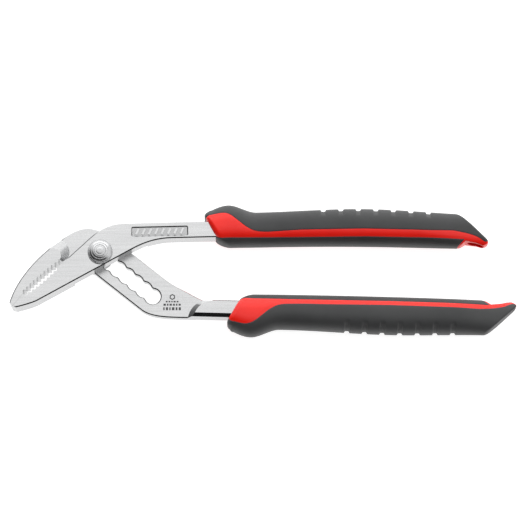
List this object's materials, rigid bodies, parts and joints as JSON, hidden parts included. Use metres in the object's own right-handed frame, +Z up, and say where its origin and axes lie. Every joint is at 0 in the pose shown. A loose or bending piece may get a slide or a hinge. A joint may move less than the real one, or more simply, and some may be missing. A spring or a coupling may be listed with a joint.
{
  "type": "tongue and groove pliers",
  "caption": "Adjustable pliers with slanted toothed jaws, a lever sliding along a scalloped slot to set the jaw gap, a domed pivot, and two-tone grips with thumb guards.",
  "frame": {"origin": "the pivot axis at the plane the pliers lie on, which is the rear face of the pivot pin's head", "axes": "+X from the pivot to the grips, +Y towards the front lever's grip, +Z up, out of the front face"},
  "size_m": [0.2524, 0.0674, 0.0172],
  "materials": {
    "lever_steel": "satin",
    "pivot_steel": "turned",
    "hard_red": "semi-gloss",
    "soft_black": "matt"
  },
  "bodies": {
    "slotted": {"slotted_lever": "lever_steel", "lower_grip_core": "hard_red", "lower_outer_pad": "soft_black", "lower_inner_pad": "soft_black"},
    "slider": {"spring_washer": "pivot_steel"},
    "front": {"front_lever": "lever_steel", "pivot_pin": "pivot_steel", "dome_nut": "pivot_steel", "upper_grip_core": "hard_red", "upper_outer_pad": "soft_black", "upper_inner_pad": "soft_black"}
  },
  "joints": [
    {"name": "notch_slide", "type": "slide", "parent": "slotted", "child": "slider", "axis": [0.7793, -0.6266, 0], "range_m": [0, 0.0336]},
    {"name": "handle_hinge", "type": "hinge", "parent": "slider", "child": "front", "pos_m": [0, 0, 0], "axis": [0, 0, 1], "range_deg": [0, 60]}
  ]
}
